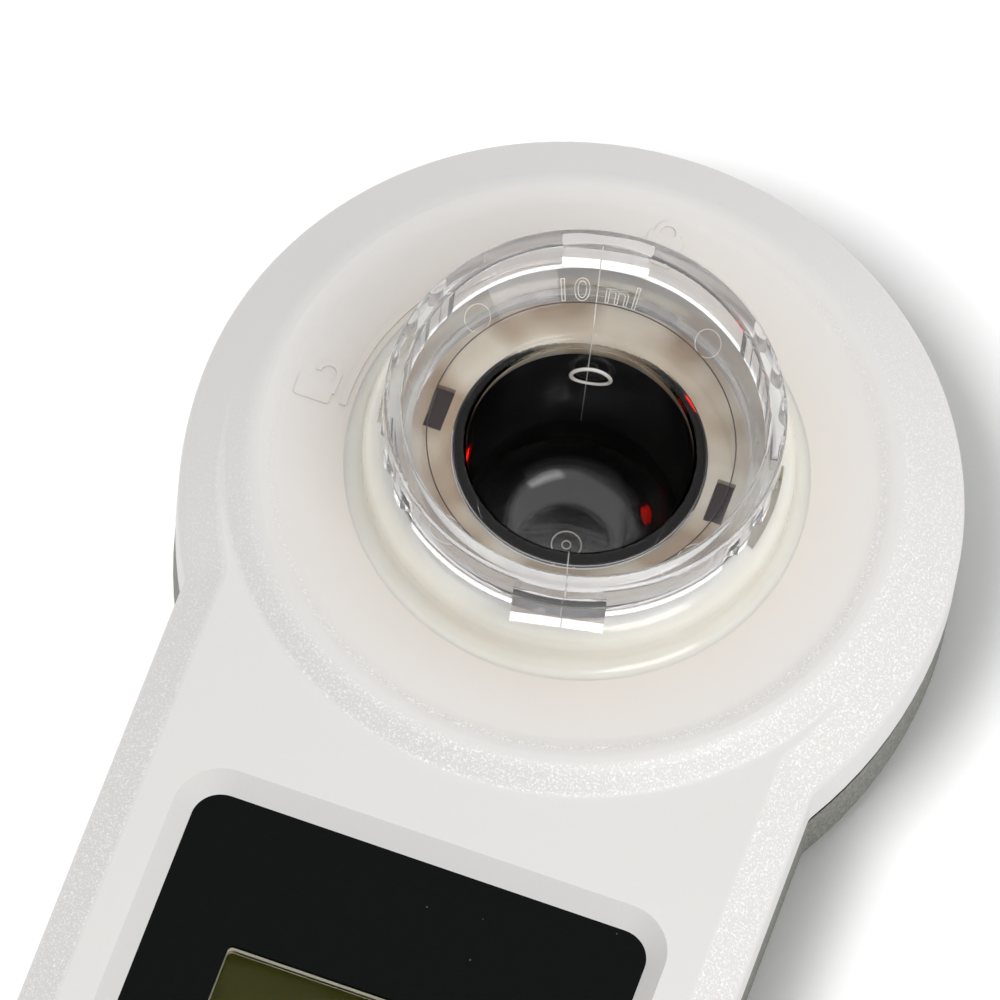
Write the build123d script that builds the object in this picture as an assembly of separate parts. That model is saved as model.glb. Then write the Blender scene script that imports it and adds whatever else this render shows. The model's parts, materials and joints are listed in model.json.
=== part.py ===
"""Handheld water-test photometer with a twist-lock 10 ml sample cell, lying on its back.

Millimetres. X runs across the case, Y from the handle end to the round head, Z up out of the
display side. The origin is the bottom centre of the whole instrument. Each piece is one STEP file.
"""
import os
from math import cos, radians, sin, sqrt, tan

from build123d import *

os.makedirs("parts", exist_ok=True)

# ---- driving dimensions -------------------------------------------------------------------
LENGTH = 167.0                      # whole case, along Y
HEAD_R = 44.0                       # round head, outside
HANDLE_W = 74.4                     # handle width
HEAD_Y = LENGTH / 2 - HEAD_R        # head axis; the sample cell turns about it
RIM_Z = 20.0                        # level where the top shell's side wall meets its bevel
WALL = 2.2                          # shell thickness
FOOT_H = 0.8                        # rubber feet stand this proud of the back

# outline of the case
NECK_Y = HEAD_Y - 26.0              # where the head's flank meets the handle side
FLANK_SHIFT = 9.1                   # flank arc centre beyond the head axis
NECK_FILLET = 2.0
END_R = 120.0                       # gentle bow of the handle end
END_CORNER_R = 14.0

# top shell, heights above RIM_Z
BEVEL_RUN, BEVEL_RISE = 7.1, 5.6    # conical bevel up to the crest of the head
CREST_R = HEAD_R - BEVEL_RUN
PLATEAU_H = 3.4                     # flat top of the handle
DISH_DROP = 0.6                     # how far the dish sinks below the crest
DISH_H = BEVEL_RISE - DISH_DROP
DISH_FLAT_R, DISH_R = 33.3, 35.8    # the dish rises to the crest between these
MARK_R = 30.9                       # lock marks, from the head axis
SIDE_H = 7.4                        # white side wall below RIM_Z
GASKET_H = 1.0

# bottom shell
SHELL_STEP = 0.1                    # bottom shell sits this far inside the top shell
BACK_TAPER = 42.0
BACK_EDGE_Z = 3.2                   # where the sides start to lean in towards the back
COVER_BOSS_Z = 8.5                  # top of the battery cover's screw bosses
SEAM_Z = RIM_Z - SIDE_H - GASKET_H  # top edge of the bottom shell

# display panel and window
PANEL_W, PANEL_TOP, PANEL_END = 53.2, HEAD_Y - 50.0, -75.5
PANEL_CORNER_R = 3.5
PANEL_H = 1.2                       # panel surface above RIM_Z
PANEL_T = 0.6
TRAY_T = 1.5                        # top-shell floor under the panel
LCD_W, LCD_TOP, LCD_DEPTH = 34.6, HEAD_Y - 67.0, 20.0
LCD_MARGIN = 1.6                    # display frame around the aperture
FIT = 0.2

# keys
KEY_R = 4.5
KEY_CLEAR = 0.35
KEY_PROUD = 0.7
KEY_TRAVEL = 0.6
KEY_X, KEY_UPPER_Y, KEY_LOWER_Y = 12.0, -56.0, -68.0
KEYS = {
    "key_up": (-KEY_X, KEY_UPPER_Y),
    "key_ok": (KEY_X, KEY_UPPER_Y),
    "key_down": (-KEY_X, KEY_LOWER_Y),
    "key_power": (KEY_X, KEY_LOWER_Y),
}
MAT_T = 1.0
KEY_FLANGE_R, KEY_FLANGE_T = 5.5, 0.8

# sample cell (cuvette), heights above RIM_Z
CELL_RIM_R, CELL_RIM_H = 22.5, 20.3
CELL_SKIRT_H = 13.7
CELL_CUP_R = 20.4
CELL_STEP_R, CELL_STEP_H = 17.2, 12.0
CELL_MOUTH_R, CELL_MOUTH_H = 12.8, 10.5
CELL_BASE_R, CELL_FLOOR_H = 12.0, -14.7
CELL_BOWL_R, CELL_BOWL_H = 4.7, -7.4    # the well's floor is flat inside this radius, round up to this height
CELL_WALL = 1.4
CELL_RING_R, CELL_RING_H = 20.95, 8.6
TAB_ANGLE = 102.0                   # far grip tab, counter-clockwise from +X
TAB_W, TAB_OUT, TAB_H = 10.4, 1.5, 2.4
LUG_R, LUG_H, LUG_HALF_ANGLE = 22.3, 1.1, 12.0
GRIP_PITCH, GRIP_COUNT, GRIP_CUT_R, GRIP_DEPTH, GRIP_H = 12.0, 7, 1.7, 0.65, 4.6

# collar around the cell, heights above RIM_Z
COLLAR_R, COLLAR_BORE_R, COLLAR_TOP_H = 24.3, 21.3, 11.6
COLLAR_SEAT_H, COLLAR_SEAT_R = 7.9, 14.45
COLLAR_FOOT_R = 26.2
GROOVE_R, GROOVE_TOP_H = 22.8, 10.2
SLOT_HALF_ANGLE = LUG_HALF_ANGLE + 2.0
LOCK_ANGLE, UNLOCK_ANGLE = 90.0, 180.0
NOTCH_W, NOTCH_IN_R, NOTCH_OUT_R = 5.5, 15.7, 18.0     # pockets in the seat, over the beam
SEAL_T = 0.4

# optics
CHAMBER_R, CHAMBER_OUT_R = COLLAR_SEAT_R, 18.4
CHAMBER_FLOOR_T = 1.2
TOWER_X, TOWER_W = 22.0, 10.0
BEAM_H = -3.5                       # light path above RIM_Z
LED_R, FILTER_R = 2.5, 3.1
SENSOR_PCB_T = 1.5

# electronics and power
PCB_TOP_Z, PCB_T = 15.2, 1.5
CELL_D, CELL_L = 10.2, 44.5         # AAA
CELL_PITCH = 10.8
CELL_MID_Y = -47.0
BAY_TOP_Z = 13.2                    # roof of the battery bay, just under the circuit board
COVER_T = 1.5
COVER_W, COVER_L = 38.0, 58.0
TRAY_W, TRAY_L = 33.6, 49.5
COVER_SCREW_Y = 26.7                # either side of the cells' middle
BOSS_R, SCREW_R, SCREW_HEAD_R = 3.2, 1.2, 2.4
CASE_SCREWS = [(sx * x, y) for x, y in ((22.6, 62.1), (27.5, 5.0), (26.0, -66.0)) for sx in (1, -1)]
FEET = [(sx * x, y) for x, y in ((14.0, 70.0), (25.5, -52.0)) for sx in (1, -1)]
FOOT_R = 4.0


# ---- small helpers ------------------------------------------------------------------------
def save(shape, node):
    """Write one piece to its own STEP file."""
    export_step(shape, f"parts/{node}.step")


def column(face, low, high):
    """A flat outline turned into a solid between two heights."""
    return extrude(Pos(0, 0, low) * face, amount=high - low, dir=(0, 0, 1))


def tapered(low_face, low, high_face, high):
    """A solid whose sides lean straight from one flat outline to another."""
    return loft([Pos(0, 0, low) * low_face, Pos(0, 0, high) * high_face], ruled=True)


def disc(x, y, radius, low, high):
    return Pos(x, y, low) * extrude(Circle(radius), amount=high - low)


def block(x, y, width, depth, low, high, corner=0.0):
    outline = RectangleRounded(width, depth, corner) if corner else Rectangle(width, depth)
    return Pos(x, y, low) * extrude(outline, amount=high - low)


def turned(points):
    """Revolve (radius, height above RIM_Z) points about the head axis."""
    profile = make_face(Polyline(*[(r, 0, h) for r, h in points], close=True))
    return Pos(0, HEAD_Y, RIM_Z) * revolve(profile, Axis.Z)


def turned_faces(edges):
    """Revolve an outline of lines and arcs, (radius, height above RIM_Z), about the head axis."""
    return Pos(0, HEAD_Y, RIM_Z) * revolve(Plane.XZ * make_face(edges), Axis.Z)


def edges_at(shape, z):
    """Every flat edge that lies at one height."""
    level = [e for e in shape.edges() if abs(e.center().Z - z) < 0.01]
    return [e for e in level if e.bounding_box().size.Z < 0.01]


def at_head(angle, radius=0.0, height=0.0):
    """A place on the head, by angle from +X and radius, with +X pointing outwards."""
    return Pos(0, HEAD_Y, RIM_Z + height) * Rot(0, 0, angle) * Pos(radius, 0, 0)


def sector(radius, start, end, low, high):
    """A wedge of a disc about the head axis, between two angles."""
    middle = (start + end) / 2
    def rim(angle):
        return (radius * cos(radians(angle)), radius * sin(radians(angle)))
    edges = [Line((0, 0), rim(start)), ThreePointArc(rim(start), rim(middle), rim(end)), Line(rim(end), (0, 0))]
    return Pos(0, HEAD_Y, RIM_Z + low) * extrude(make_face(edges), amount=high - low)


# ---- outline ------------------------------------------------------------------------------
def case_outline():
    """Round head with slightly flared flanks, parallel-sided handle and a bowed end."""
    half = HANDLE_W / 2
    flank_r = HEAD_R + FLANK_SHIFT
    middle_y = (NECK_Y + HEAD_Y) / 2
    middle_x = sqrt(flank_r ** 2 - (middle_y - HEAD_Y) ** 2) - FLANK_SHIFT
    low = NECK_Y - 40.0
    head = make_face([
        ThreePointArc((half, NECK_Y), (middle_x, middle_y), (HEAD_R, HEAD_Y)),
        ThreePointArc((HEAD_R, HEAD_Y), (0, HEAD_Y + HEAD_R), (-HEAD_R, HEAD_Y)),
        ThreePointArc((-HEAD_R, HEAD_Y), (-middle_x, middle_y), (-half, NECK_Y)),
        Line((-half, NECK_Y), (-half, low)),
        Line((-half, low), (half, low)),
        Line((half, low), (half, NECK_Y)),
    ])
    handle = Pos(0, low) * Rectangle(HANDLE_W, 120.0)
    handle &= Pos(0, END_R - LENGTH / 2) * Circle(END_R)
    handle &= Pos(0, low - 40.0) * Rectangle(HANDLE_W, 100.0)
    outline = (head + handle).face()
    neck = [v for v in outline.vertices() if abs(v.Y - NECK_Y) < 0.5]
    outline = fillet(neck, NECK_FILLET).face()
    corners = [v for v in outline.vertices() if v.Y < low - 20.0]
    return fillet(corners, END_CORNER_R).face()


OUTLINE = case_outline()


def inset(distance):
    """The case outline moved inwards."""
    return offset(OUTLINE, -distance).face()


# ---- case ---------------------------------------------------------------------------------
def panel_outline(grow=0.0):
    length = PANEL_TOP - PANEL_END
    place = Pos(0, (PANEL_TOP + PANEL_END) / 2)
    return (place * RectangleRounded(PANEL_W + 2 * grow, length + 2 * grow, PANEL_CORNER_R + grow)).face()


def key_holes(radius, low, high):
    """Four round holes, one for each key."""
    return [disc(x, y, radius, low, high) for x, y in KEYS.values()]


def padlock(angle, open_shackle):
    """A raised padlock sign on the dish, upright along Y; the open one has a free shackle end."""
    width, body_h, stroke, height = 4.2, 2.8, 0.6, 0.25
    shackle_r = 1.5
    shift, lift = (0.9, 0.7) if open_shackle else (0.0, 0.0)
    shackle_y = body_h / 2 + 0.2 + lift
    ring = Circle(shackle_r) - Circle(shackle_r - stroke)
    ring &= Pos(0, shackle_r) * Rectangle(4 * shackle_r, 2 * shackle_r)
    mark = RectangleRounded(width, body_h, 0.4) + Pos(shift, shackle_y) * ring
    for side in ((1,) if open_shackle else (1, -1)):
        x = shift + side * (shackle_r - stroke / 2)
        mark += Pos(x, shackle_y / 2) * Rectangle(stroke, shackle_y + 0.02)
    x, y = MARK_R * cos(radians(angle)), MARK_R * sin(radians(angle)) - 1.0
    base = RIM_Z + DISH_H - 0.3
    return Pos(x, HEAD_Y + y, base) * extrude(mark, amount=height + 0.3)


def turn_guide():
    """Raised arc on the dish between the two padlocks, showing the quarter turn."""
    inner, outer, height = 26.9, 27.7, 0.3
    base = DISH_H - 0.3
    ring = turned([(inner, base), (outer, base), (outer, DISH_H + height), (inner, DISH_H + height)])
    return ring & sector(outer + 1, LOCK_ANGLE + 10, UNLOCK_ANGLE + 4, base, DISH_H + 1)


def top_shell():
    plateau = inset(BEVEL_RUN * PLATEAU_H / BEVEL_RISE)
    shell = column(OUTLINE, RIM_Z - SIDE_H, RIM_Z) + tapered(OUTLINE, RIM_Z, plateau, RIM_Z + PLATEAU_H)
    shell += turned([(0, 0), (HEAD_R, 0), (CREST_R, BEVEL_RISE), (0, BEVEL_RISE)])
    for height, radius in ((PLATEAU_H, 1.2), (0, 2.0), (BEVEL_RISE, 3.0)):
        shell = fillet(edges_at(shell, RIM_Z + height), radius)

    # shallow dish inside the crest, with a soft S-shaped edge
    middle = ((DISH_FLAT_R + DISH_R) / 2, (DISH_H + BEVEL_RISE) / 2)
    shell -= turned_faces([
        Line((0, DISH_H), (DISH_FLAT_R, DISH_H)),
        TangentArc((DISH_FLAT_R, DISH_H), middle, tangent=(1, 0)),
        TangentArc((DISH_R, BEVEL_RISE), middle, tangent=(-1, 0)),
        Line((DISH_R, BEVEL_RISE), (DISH_R, BEVEL_RISE + 1)),
        Line((DISH_R, BEVEL_RISE + 1), (0, BEVEL_RISE + 1)),
        Line((0, BEVEL_RISE + 1), (0, DISH_H)),
    ])

    # hollow underside
    lower = inset(WALL)
    ceiling = inset(WALL + BEVEL_RUN * 1.8 / BEVEL_RISE)
    shell -= column(lower, RIM_Z - SIDE_H, RIM_Z - 0.6)
    shell -= tapered(lower, RIM_Z - 0.6, ceiling, RIM_Z + 1.2)
    shell -= disc(0, HEAD_Y, 36.0, RIM_Z - SIDE_H, RIM_Z + DISH_H - WALL)

    for x, y in CASE_SCREWS:
        top = RIM_Z + (3.2 if y > HEAD_Y else 1.6)
        shell += disc(x, y, BOSS_R, SEAM_Z + GASKET_H, top)
        shell -= disc(x, y, SCREW_R, SEAM_Z, top - 2.2)

    # tray that carries the display panel, with its sloped border
    tray_low = RIM_Z + PANEL_H - PANEL_T - TRAY_T
    shell += column(panel_outline(2.0), tray_low, RIM_Z + PLATEAU_H)
    slope = PLATEAU_H - PANEL_H
    shell -= tapered(panel_outline(), RIM_Z + PANEL_H, panel_outline(slope), RIM_Z + PLATEAU_H)
    shell -= column(panel_outline(), RIM_Z + PANEL_H - PANEL_T, RIM_Z + PANEL_H)
    window_y = LCD_TOP - LCD_DEPTH / 2
    edge = 2 * LCD_MARGIN
    shell -= block(0, window_y, LCD_W + edge, LCD_DEPTH + edge, tray_low, RIM_Z + PANEL_H, 1.0)
    shell -= key_holes(KEY_R + KEY_CLEAR, tray_low, RIM_Z + PANEL_H)

    # opening for the collar, lock marks and the quarter-turn guide
    shell -= disc(0, HEAD_Y, COLLAR_FOOT_R, RIM_Z, RIM_Z + BEVEL_RISE)
    shell += padlock(LOCK_ANGLE, False) + padlock(UNLOCK_ANGLE, True) + turn_guide()
    return shell


def bottom_shell():
    upright = column(inset(SHELL_STEP), BACK_EDGE_Z, SEAM_Z)
    lean = (BACK_EDGE_Z - FOOT_H) * tan(radians(BACK_TAPER))
    shell = upright + tapered(inset(SHELL_STEP + lean), FOOT_H, inset(SHELL_STEP), BACK_EDGE_Z)
    inner = SHELL_STEP + WALL
    shell -= column(inset(inner), BACK_EDGE_Z + 0.6, SEAM_Z)
    shell -= tapered(inset(inner + lean - 1.6), FOOT_H + 1.8, inset(inner), BACK_EDGE_Z + 0.6)

    # battery compartment: walls, ceiling, stepped opening for the cover
    floor_z = FOOT_H + COVER_T
    shell += block(0, CELL_MID_Y, TRAY_W + 2.4, TRAY_L + 2.4, FOOT_H, BAY_TOP_Z, 1.5)
    for sy in (1, -1):
        shell += disc(0, CELL_MID_Y + sy * COVER_SCREW_Y, 2.6, FOOT_H, COVER_BOSS_Z)
    shell += block(0, CELL_MID_Y, COVER_W + 3, COVER_L + 3, FOOT_H, floor_z + 2.0, 4.0)
    shell -= block(0, CELL_MID_Y, TRAY_W, TRAY_L, FOOT_H, BAY_TOP_Z - 0.5, 0.5)
    shell -= block(0, CELL_MID_Y, COVER_W + 2 * FIT, COVER_L + 2 * FIT, FOOT_H, floor_z, 3.0)
    shell -= cover_seal(FIT)
    for sy in (1, -1):
        shell -= disc(0, CELL_MID_Y + sy * COVER_SCREW_Y, 1.0, FOOT_H, COVER_BOSS_Z - 1.0)

    for x, y in CASE_SCREWS:
        shell += disc(x, y, BOSS_R, FOOT_H + 0.5, SEAM_Z)
        shell -= disc(x, y, SCREW_R + 0.2, FOOT_H, SEAM_Z)
        shell -= disc(x, y, SCREW_HEAD_R + 0.2, 0, FOOT_H + 3.2)
    for x, y in FEET:
        shell -= disc(x, y, FOOT_R, FOOT_H, FOOT_H + 0.6)
    return shell


def case_gasket():
    ring = column(inset(SHELL_STEP), SEAM_Z, SEAM_Z + GASKET_H)
    ring -= column(inset(SHELL_STEP + WALL - 0.2), SEAM_Z, SEAM_Z + GASKET_H)
    return ring


def case_screws():
    """Pan-head screws from the back, with a cross recess, driven into the top shell."""
    head_low = FOOT_H + 1.2
    screws = []
    for x, y in CASE_SCREWS:
        head_top = FOOT_H + 3.2
        screw = disc(x, y, SCREW_HEAD_R, head_low, head_top) + disc(x, y, SCREW_R, head_top, RIM_Z - 2.0)
        for turn in (0, 90):
            slot = Pos(x, y, head_low) * Rot(0, 0, turn) * extrude(Rectangle(2.6, 0.6), amount=1.0)
            screw -= slot
        screws.append(screw)
    return Compound(children=screws)


def rubber_feet():
    feet = [disc(x, y, FOOT_R, 0, FOOT_H + 0.6) for x, y in FEET]
    return Compound(children=[fillet(foot.edges().sort_by(Axis.Z)[0], 0.5) for foot in feet])


# ---- display and keys ---------------------------------------------------------------------
def front_panel():
    low, high = RIM_Z + PANEL_H - PANEL_T, RIM_Z + PANEL_H
    panel = column(panel_outline(), low, high)
    panel -= block(0, LCD_TOP - LCD_DEPTH / 2, LCD_W, LCD_DEPTH, low, high, 0.6)
    panel -= key_holes(KEY_R + KEY_CLEAR, low, high)
    return panel


def display_stack():
    """Frame, lens, LCD glass and light guide, from the panel down to the circuit board."""
    y = LCD_TOP - LCD_DEPTH / 2
    top = RIM_Z + PANEL_H - PANEL_T
    lens_top, lens_t, lcd_t = top - 0.8, 0.5, 1.7
    frame_w, frame_d = LCD_W + 2 * LCD_MARGIN - FIT, LCD_DEPTH + 2 * LCD_MARGIN - FIT
    lcd_top = top - TRAY_T
    frame = block(0, y, frame_w, frame_d, lcd_top, top, 1.0)
    frame -= block(0, y, LCD_W, LCD_DEPTH, lcd_top, top, 0.6)
    lens = block(0, y, LCD_W, LCD_DEPTH, lens_top - lens_t, lens_top, 0.6)
    lcd = block(0, y, LCD_W + 4, LCD_DEPTH + 4, lcd_top - lcd_t, lcd_top)
    guide = block(0, y, LCD_W + 6, LCD_DEPTH + 5, PCB_TOP_Z, lcd_top - lcd_t, 0.8)
    return {"display_frame": frame, "display_lens": lens, "lcd_module": lcd, "backlight": guide}


def key(x, y):
    """Round rubber key: domed cap, retaining flange and a plunger over its switch."""
    top = RIM_Z + PANEL_H + KEY_PROUD
    tray_low = RIM_Z + PANEL_H - PANEL_T - TRAY_T
    flange_top = tray_low - MAT_T - 0.3
    cap = disc(x, y, KEY_R, flange_top, top)
    cap = fillet(cap.edges().sort_by(Axis.Z)[-1], 0.6)
    cap += disc(x, y, KEY_FLANGE_R, flange_top - KEY_FLANGE_T, flange_top)
    cap += disc(x, y, 1.5, PCB_TOP_Z + 1.55, flange_top - KEY_FLANGE_T)
    return cap


def keypad_mat():
    high = RIM_Z + PANEL_H - PANEL_T - TRAY_T
    mat = block(0, (KEY_UPPER_Y + KEY_LOWER_Y) / 2, 42, 24, high - MAT_T, high, 2.0)
    return mat - key_holes(KEY_R + KEY_CLEAR, high - MAT_T, high)


def key_switches():
    """Low tactile switches: square base and round dome."""
    switches = []
    for x, y in KEYS.values():
        base = block(x, y, 5.0, 5.0, PCB_TOP_Z, PCB_TOP_Z + 0.6)
        switches.append(base + disc(x, y, 1.6, PCB_TOP_Z, PCB_TOP_Z + 0.9))
    return Compound(children=switches)


# ---- sample cell, collar and seal ---------------------------------------------------------
def cuvette():
    ring_in = CELL_RING_R - 1.55
    outer_r = CELL_MOUTH_R + CELL_WALL
    foot_r = CELL_BASE_R + CELL_WALL - 0.1
    under_h = CELL_FLOOR_H - 1.2
    inner_bend, outer_bend = CELL_BASE_R - CELL_BOWL_R, foot_r - CELL_BOWL_R - 0.3
    diagonal = sqrt(0.5)
    inner_mid = (CELL_BOWL_R + inner_bend * diagonal, CELL_BOWL_H - inner_bend * diagonal)
    outer_mid = (foot_r - outer_bend * (1 - diagonal), CELL_BOWL_H - 0.2 - outer_bend * diagonal)
    corners = [
        (foot_r, CELL_BOWL_H - 0.2),
        (outer_r, CELL_RING_H + 0.3),
        (CELL_STEP_R + 0.4, CELL_STEP_H - 1.8),
        (ring_in, CELL_STEP_H - 0.3),
        (ring_in, CELL_RING_H),
        (CELL_RING_R, CELL_RING_H),
        (CELL_RING_R, CELL_SKIRT_H),
        (CELL_RIM_R, CELL_SKIRT_H),
        (CELL_RIM_R, CELL_RIM_H),
        (CELL_CUP_R, CELL_RIM_H),
        (CELL_CUP_R, CELL_STEP_H + 2.5),
        (CELL_STEP_R, CELL_STEP_H),
        (CELL_MOUTH_R, CELL_MOUTH_H),
        (CELL_BASE_R, CELL_BOWL_H),
    ]
    cell = turned_faces([
        Polyline(*corners),
        ThreePointArc(corners[-1], inner_mid, (CELL_BOWL_R, CELL_FLOOR_H)),
        Polyline((CELL_BOWL_R, CELL_FLOOR_H), (0, CELL_FLOOR_H), (0, under_h), (CELL_BOWL_R + 0.3, under_h)),
        ThreePointArc((CELL_BOWL_R + 0.3, under_h), outer_mid, corners[0]),
    ])
    softened = ((CELL_RIM_H, 0.45), (CELL_MOUTH_H, 1.2), (CELL_STEP_H, 0.8), (CELL_RING_H + 0.3, 1.0))
    for height, radius in softened:
        cell = fillet(edges_at(cell, RIM_Z + height), radius)

    # two grip tabs: a block with a ramp up to the rim
    for side in (0, 180):
        ramp = make_face(Polyline(
            (CELL_CUP_R + 1, 0), (CELL_RIM_R + TAB_OUT, 0), (CELL_RIM_R + TAB_OUT, TAB_H),
            (CELL_RIM_R - 0.2, TAB_H + 2.2), (CELL_CUP_R + 1, TAB_H + 2.2), close=True))
        tab = extrude(Plane.XZ * ramp, amount=TAB_W / 2, both=True)
        cell += at_head(TAB_ANGLE + side, 0, CELL_SKIRT_H) * tab

    # finger grip: scallops between the tabs
    for side in (90, 270):
        for i in range(GRIP_COUNT):
            angle = TAB_ANGLE + side + (i - (GRIP_COUNT - 1) / 2) * GRIP_PITCH
            scallop = Cylinder(GRIP_CUT_R, GRIP_H, align=(Align.CENTER, Align.CENTER, Align.MIN))
            cell -= at_head(angle, CELL_RIM_R + GRIP_CUT_R - GRIP_DEPTH, CELL_SKIRT_H) * scallop

    # bayonet lugs under the skirt
    for side in (0, 180):
        low, middle = CELL_RING_H + 0.1, TAB_ANGLE + side
        lug = sector(LUG_R, middle - LUG_HALF_ANGLE, middle + LUG_HALF_ANGLE, low, low + LUG_H)
        cell += lug - disc(0, HEAD_Y, CELL_RING_R - 0.8, RIM_Z + low, RIM_Z + low + LUG_H)
    return cell


def cuvette_collar():
    """Glossy ring with a bayonet groove inside and a seat under the sample cell."""
    lip_r, shoulder = 21.9, 3.0
    collar = turned_faces([
        Line((COLLAR_SEAT_R, COLLAR_SEAT_H), (COLLAR_BORE_R, COLLAR_SEAT_H)),
        Line((COLLAR_BORE_R, COLLAR_SEAT_H), (COLLAR_BORE_R, COLLAR_TOP_H - 0.4)),
        ThreePointArc((COLLAR_BORE_R, COLLAR_TOP_H - 0.4), (21.42, COLLAR_TOP_H - 0.12), (21.7, COLLAR_TOP_H)),
        ThreePointArc((21.7, COLLAR_TOP_H), (23.65, COLLAR_TOP_H - 1.05), (COLLAR_R, COLLAR_TOP_H - shoulder)),
        Line((COLLAR_R, COLLAR_TOP_H - shoulder), (COLLAR_R, DISH_H + 1.9)),
        ThreePointArc((COLLAR_R, DISH_H + 1.9), (24.86, DISH_H + 0.56), (COLLAR_FOOT_R, DISH_H)),
        Line((COLLAR_FOOT_R, DISH_H), (COLLAR_FOOT_R, DISH_H - WALL)),
        Line((COLLAR_FOOT_R, DISH_H - WALL), (COLLAR_FOOT_R + 1.3, DISH_H - WALL)),
        Line((COLLAR_FOOT_R + 1.3, DISH_H - WALL), (COLLAR_FOOT_R + 1.3, 1.5)),
        Line((COLLAR_FOOT_R + 1.3, 1.5), (CHAMBER_R + 8.1, 1.5)),
        Line((CHAMBER_R + 8.1, 1.5), (CHAMBER_R + 8.1, 6.4)),
        Line((CHAMBER_R + 8.1, 6.4), (COLLAR_SEAT_R, 6.4)),
        Line((COLLAR_SEAT_R, 6.4), (COLLAR_SEAT_R, COLLAR_SEAT_H)),
    ])
    groove_start, groove_end = LOCK_ANGLE - SLOT_HALF_ANGLE, UNLOCK_ANGLE + SLOT_HALF_ANGLE
    for side in (0, 180):
        collar -= sector(GROOVE_R, groove_start + side, groove_end + side, COLLAR_SEAT_H, GROOVE_TOP_H)
        collar -= lug_slot(side, COLLAR_SEAT_H, COLLAR_TOP_H)
        notch = extrude(Rectangle(NOTCH_OUT_R - NOTCH_IN_R, NOTCH_W), amount=COLLAR_SEAT_H - 6.4)
        collar -= at_head(side, (NOTCH_IN_R + NOTCH_OUT_R) / 2, 6.4) * notch
    return collar - seal_ring()


def lug_slot(side, low, high):
    """The gap that lets one bayonet lug down past the collar's lip."""
    middle = UNLOCK_ANGLE + side
    return sector(GROOVE_R, middle - SLOT_HALF_ANGLE, middle + SLOT_HALF_ANGLE, low, high)


def seal_ring():
    """The sealing ring before it is slotted for the lugs, just under the collar's lip."""
    low = GROOVE_TOP_H + 0.15
    inner, outer = COLLAR_BORE_R - 0.2, COLLAR_BORE_R + 1.0
    return turned([(inner, low), (outer, low), (outer, low + SEAL_T), (inner, low + SEAL_T)])


def cuvette_seal():
    ring = seal_ring()
    for side in (0, 180):
        ring -= lug_slot(side, GROOVE_TOP_H, COLLAR_TOP_H)
    return ring


# ---- optics -------------------------------------------------------------------------------
def light_chamber():
    """Black well round the sample cell, with a lamp tower and a detector tower."""
    floor = -(RIM_Z - FOOT_H - 1.8)
    chamber = turned([(0, floor), (CHAMBER_OUT_R, floor), (CHAMBER_OUT_R, 6.4), (CHAMBER_R, 6.4),
                      (CHAMBER_R, floor + CHAMBER_FLOOR_T), (0, floor + CHAMBER_FLOOR_T)])
    bore = turned([(0, floor + CHAMBER_FLOOR_T), (CHAMBER_R, floor + CHAMBER_FLOOR_T), (CHAMBER_R, 6.4), (0, 6.4)])
    for side in (0, 180):
        tower = extrude(Rectangle(TOWER_X - 10, TOWER_W), amount=6.4 - BEAM_H + 6.0)
        chamber += at_head(side, (TOWER_X + 10) / 2, BEAM_H - 6.0) * tower
    chamber -= bore
    for side, radius in ((180, LED_R + 0.1), (0, FILTER_R)):
        hole = extrude(Circle(radius), amount=TOWER_X)
        chamber -= at_head(side, 1.0, BEAM_H) * Rot(0, 90, 0) * hole
    return chamber


def beam_part(side, start, end, radius):
    """A round piece on the light path, between two distances from the head axis."""
    return at_head(side, start, BEAM_H) * Rot(0, 90, 0) * extrude(Circle(radius), amount=end - start)


def led_source():
    lamp = beam_part(180, 16.6, TOWER_X, LED_R)
    dome = at_head(180, 16.6, BEAM_H) * Sphere(LED_R)
    return lamp + (dome & beam_part(180, 14.95, 17.0, LED_R))


def sensor_board(side):
    board = extrude(Rectangle(SENSOR_PCB_T, 14.0), amount=13.0)
    return at_head(side, TOWER_X + 0.1 + SENSOR_PCB_T / 2, BEAM_H - 8.5) * board


def photodiode():
    body = beam_part(0, 19.4, TOWER_X + 0.1, 2.5)
    return body + beam_part(0, 20.8, TOWER_X + 0.1, FILTER_R)


def sensor_ribbon(side):
    """Flat cable on edge, from a sensor board down the inside of the case to the main board."""
    x = (TOWER_X + 0.1 + SENSOR_PCB_T + 0.15) * (1 if side == 0 else -1)
    return block(x, (34.0 + 7.0) / 2, 0.3, 27.0, PCB_TOP_Z, PCB_TOP_Z + 4.0)


# ---- electronics --------------------------------------------------------------------------
def main_pcb():
    low = PCB_TOP_Z - PCB_T
    board = block(0, -31.0, 58.0, 54.0, low, PCB_TOP_Z, 1.0)
    board += block(0, 4.0, 47.0, 19.0, low, PCB_TOP_Z, 1.0)
    board += block(0, -65.0, 42.0, 17.0, low, PCB_TOP_Z, 1.0)
    return board


def chip(x, y, width, depth, height, leads):
    """A square chip with a row of leads along two sides."""
    body = block(x, y, width, depth, PCB_TOP_Z + 0.1, PCB_TOP_Z + height)
    for i in range(leads):
        offset_y = (i - (leads - 1) / 2) * depth / (leads + 0.5)
        body += block(x, y + offset_y, width + 2.0, 0.4, PCB_TOP_Z, PCB_TOP_Z + 0.3)
    return body


def ribbon_sockets():
    reach = TOWER_X + 0.1 + SENSOR_PCB_T
    sockets = []
    for sx in (1, -1):
        socket = block(sx * (reach - 2.6), 8.5, 4.8, 6.0, PCB_TOP_Z, PCB_TOP_Z + 3.0)
        sockets.append(socket)
    return Compound(children=sockets)


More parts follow.
